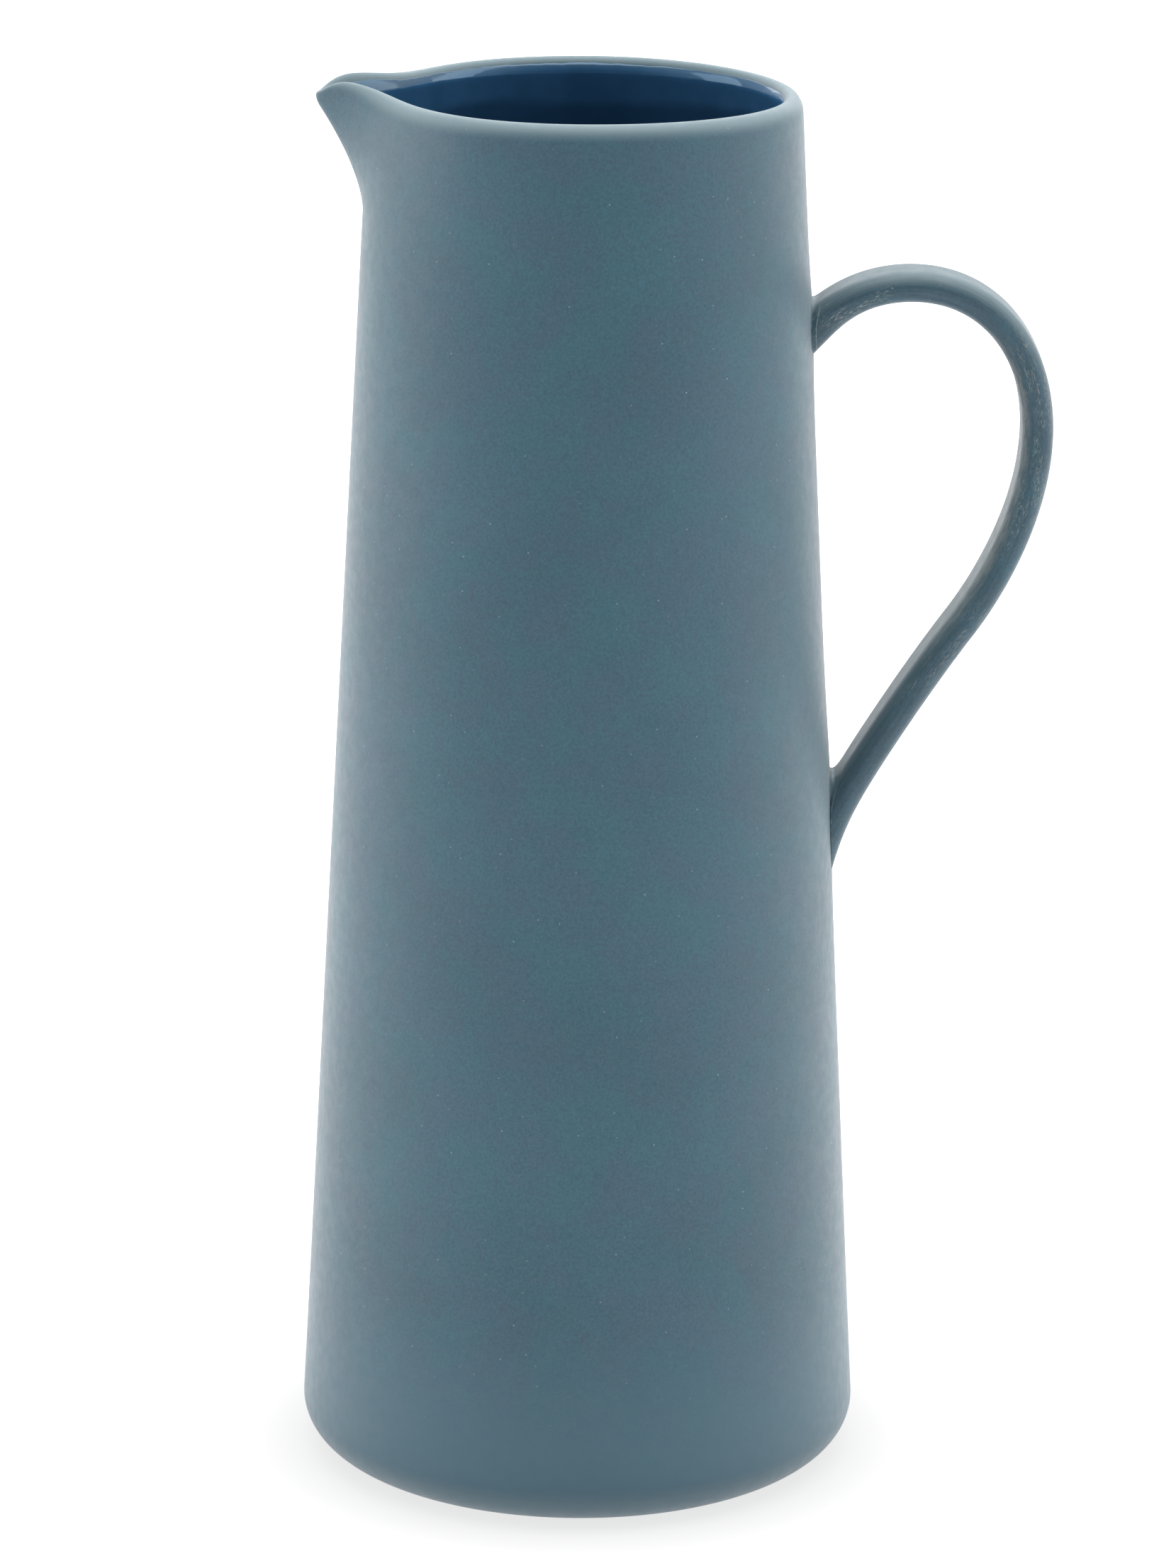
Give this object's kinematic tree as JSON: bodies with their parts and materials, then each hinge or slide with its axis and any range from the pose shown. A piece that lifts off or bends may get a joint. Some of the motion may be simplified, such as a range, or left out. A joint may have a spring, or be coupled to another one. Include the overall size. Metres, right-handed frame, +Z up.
{
  "type": "ceramic pitcher",
  "caption": "Tall conical ceramic pitcher with a pulled beak spout, a luted strap handle, a matte slate-blue outside and a glossy navy glaze inside.",
  "frame": {"origin": "on the wall's axis, at the centre of the flat underside that the pitcher stands on", "axes": "+Z up along the wall's axis, the handle towards +X, the spout towards -X, symmetric about the XZ plane"},
  "size_m": [0.1545, 0.1168, 0.292],
  "materials": {
    "clay_body": "matte, unglazed, stained slate blue, fine grain",
    "handle_clay": "matte, unglazed, stained slate blue, lightly scuffed",
    "luting_slip": "matte, unglazed, a little paler than the body",
    "navy_glaze": "glossy, deep navy blue"
  },
  "bodies": {
    "root": {"body": "clay_body", "handle": "handle_clay", "handle_upper_slip_joint": "luting_slip", "handle_lower_slip_joint": "luting_slip", "interior_glaze": "navy_glaze"}
  },
  "joints": []
}
